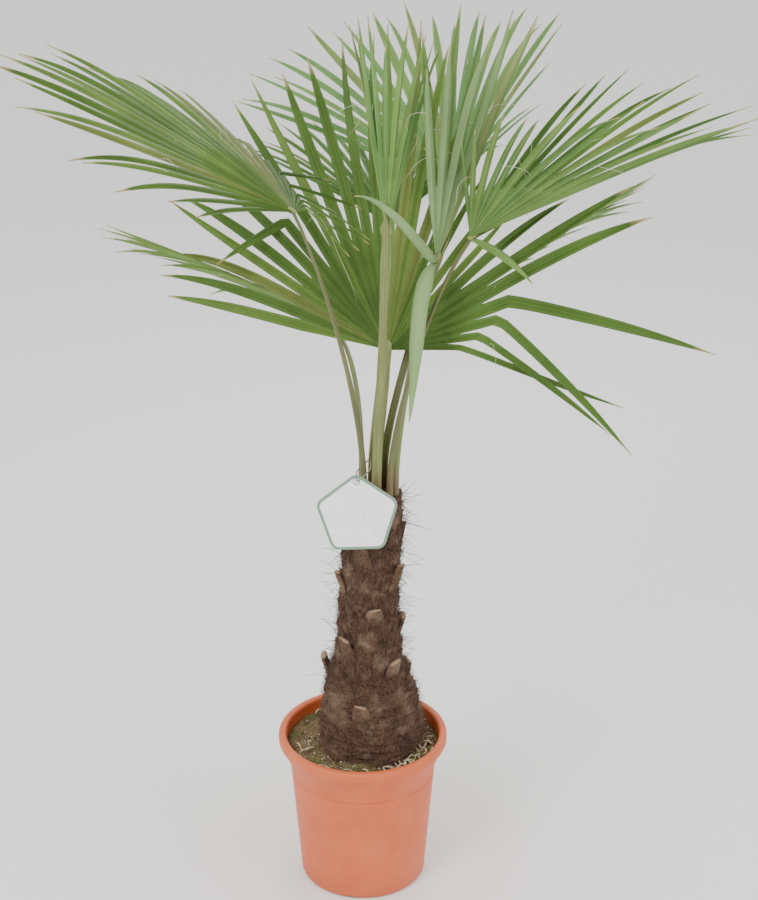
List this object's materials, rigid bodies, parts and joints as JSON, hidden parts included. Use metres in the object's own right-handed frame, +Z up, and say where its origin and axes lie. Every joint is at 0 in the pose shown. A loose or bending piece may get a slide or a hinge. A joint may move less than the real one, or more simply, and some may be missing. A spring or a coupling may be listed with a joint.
{
  "type": "potted windmill palm",
  "caption": "Young windmill palm with a fibre-clad trunk, fan-shaped leaves on long stalks and a blank hanging label, standing in a filled round terracotta-coloured pot.",
  "frame": {"origin": "middle of the pot's flat underside, on the pot's axis", "axes": "+Z up along the pot's axis; -Y is the side the picture is taken from; +X to the right in the picture"},
  "size_m": [1.148, 1.0754, 1.5674],
  "materials": {
    "pot_plastic": "moulded, fine matt grain",
    "soil": "loose peat with moss and pale chips",
    "trunk_fibre": "matted coarse brown fibre",
    "stalk": "smooth, waxy green",
    "leaf": "pleated leaf, satin",
    "label_card": "smooth white card with a pale green edge",
    "label_tie": "thin cord"
  },
  "bodies": {
    "root": {"pot": "pot_plastic", "soil": "soil", "trunk": "trunk_fibre", "spear": "leaf", "label": "label_card", "label_tie": "label_tie", "frond_a": "leaf", "frond_b": "leaf", "frond_c": "leaf", "frond_d": "leaf", "frond_e": "leaf", "frond_f": "leaf", "frond_g": "leaf", "frond_h": "leaf", "frond_i": "leaf", "stalk_a": "stalk", "stalk_b": "stalk", "stalk_c": "stalk", "stalk_d": "stalk", "stalk_e": "stalk", "stalk_f": "stalk", "stalk_g": "stalk", "stalk_h": "stalk", "stalk_i": "stalk"}
  },
  "joints": []
}
